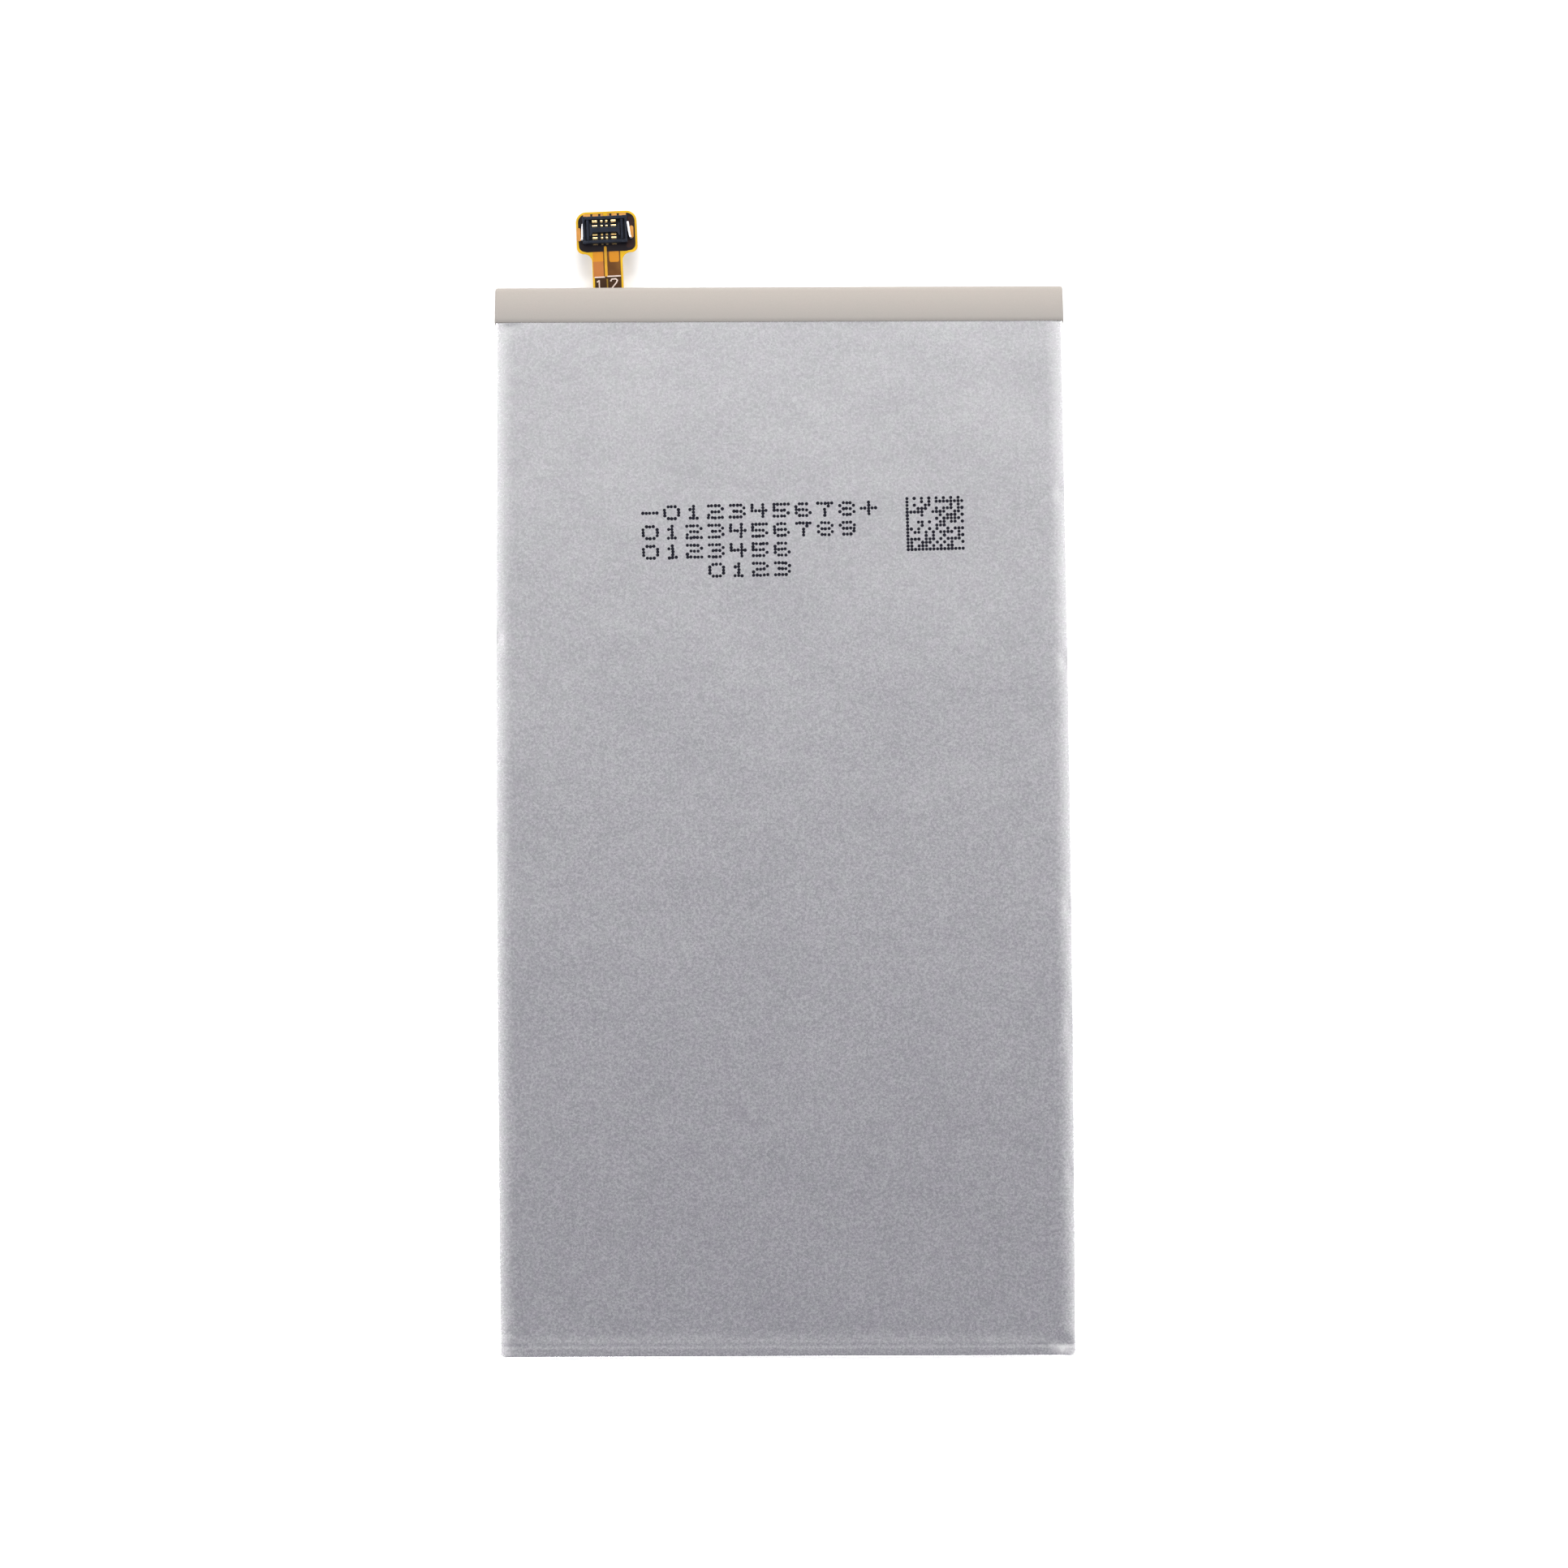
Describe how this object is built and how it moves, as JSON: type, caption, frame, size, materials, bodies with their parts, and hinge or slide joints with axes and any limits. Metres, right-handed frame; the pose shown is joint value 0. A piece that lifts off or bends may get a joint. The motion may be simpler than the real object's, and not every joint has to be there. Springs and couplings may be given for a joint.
{
  "type": "pouch battery cell",
  "caption": "Flat lithium pouch battery with folded side seals, a taped circuit-board end and a short flex tail carrying a board-to-board connector.",
  "frame": {"origin": "centre of the underside face, in the plane that the pack rests on", "axes": "+Z through the thickness towards the printed face, +Y along the length towards the taped circuit-board end and its flex tail, +X across the width"},
  "size_m": [0.049, 0.0987, 0.0053],
  "materials": {
    "pouch_laminate": "satin silver nylon-faced aluminium laminate with a fine grain",
    "label_film": "matte white blank film",
    "cathode": "dark matte coating on aluminium foil",
    "anode": "dark graphite coating on thin foil",
    "separator": "white porous film",
    "amber_tape": "clear amber polyimide tape",
    "tab_aluminium": "bright rolled aluminium",
    "tab_nickel": "bright rolled nickel",
    "sealant": "milky polypropylene film",
    "insulation": "matte insulation paper",
    "board": "green solder mask on glass-epoxy board",
    "package": "black moulded package",
    "ceramic": "tan ceramic chip",
    "holder": "black moulded plastic",
    "cover_tape": "matte beige tape with a fine grain",
    "flex": "amber polyimide over copper tracks",
    "stiffener": "dark glass-epoxy plate",
    "connector": "blue-black moulded resin",
    "contact": "gold-plated spring alloy",
    "nail": "tin-plated sheet"
  },
  "bodies": {
    "pack": {"pouch_cup": "pouch_laminate", "pouch_cover": "pouch_laminate", "label_film": "label_film", "cathode_strip": "cathode", "anode_strip": "anode", "separator_inner": "separator", "separator_outer": "separator", "roll_end_tape": "amber_tape", "positive_tab": "tab_aluminium", "negative_tab": "tab_nickel", "positive_weld_plate": "tab_nickel", "negative_weld_plate": "tab_nickel", "tab_sealant_positive": "sealant", "tab_sealant_negative": "sealant", "terrace_insulation": "insulation", "circuit_board": "board", "protection_ic": "package", "mosfet_pair": "package", "thermal_fuse": "package", "chip_resistor_1": "package", "chip_resistor_2": "package", "chip_resistor_3": "package", "ntc_thermistor": "ceramic", "chip_capacitor_1": "ceramic", "chip_capacitor_2": "ceramic", "module_holder": "holder", "cover_tape": "cover_tape", "flex_root": "flex"},
    "flex_neck": {"flex_neck": "flex"},
    "flex_head": {"flex_head": "flex", "flex_stiffener": "stiffener", "connector_housing": "connector", "contact_1": "contact", "contact_2": "contact", "contact_3": "contact", "contact_4": "contact", "contact_5": "contact", "contact_6": "contact", "contact_7": "contact", "contact_8": "contact", "fitting_nail_left": "nail", "fitting_nail_right": "nail"}
  },
  "joints": [
    {"name": "flex_exit_bend", "type": "hinge", "parent": "pack", "child": "flex_neck", "pos_m": [-0.01489, 0.04595, 0.00172], "axis": [0.9992, 0.0401, 0], "range_deg": [-90, 75], "stiffness_Nm_per_rad": 0.002},
    {"name": "flex_head_bend", "type": "hinge", "parent": "flex_neck", "child": "flex_head", "pos_m": [-0.01497, 0.04805, 0.00172], "axis": [0.9992, 0.0401, 0], "range_deg": [-60, 25], "stiffness_Nm_per_rad": 0.002}
  ]
}
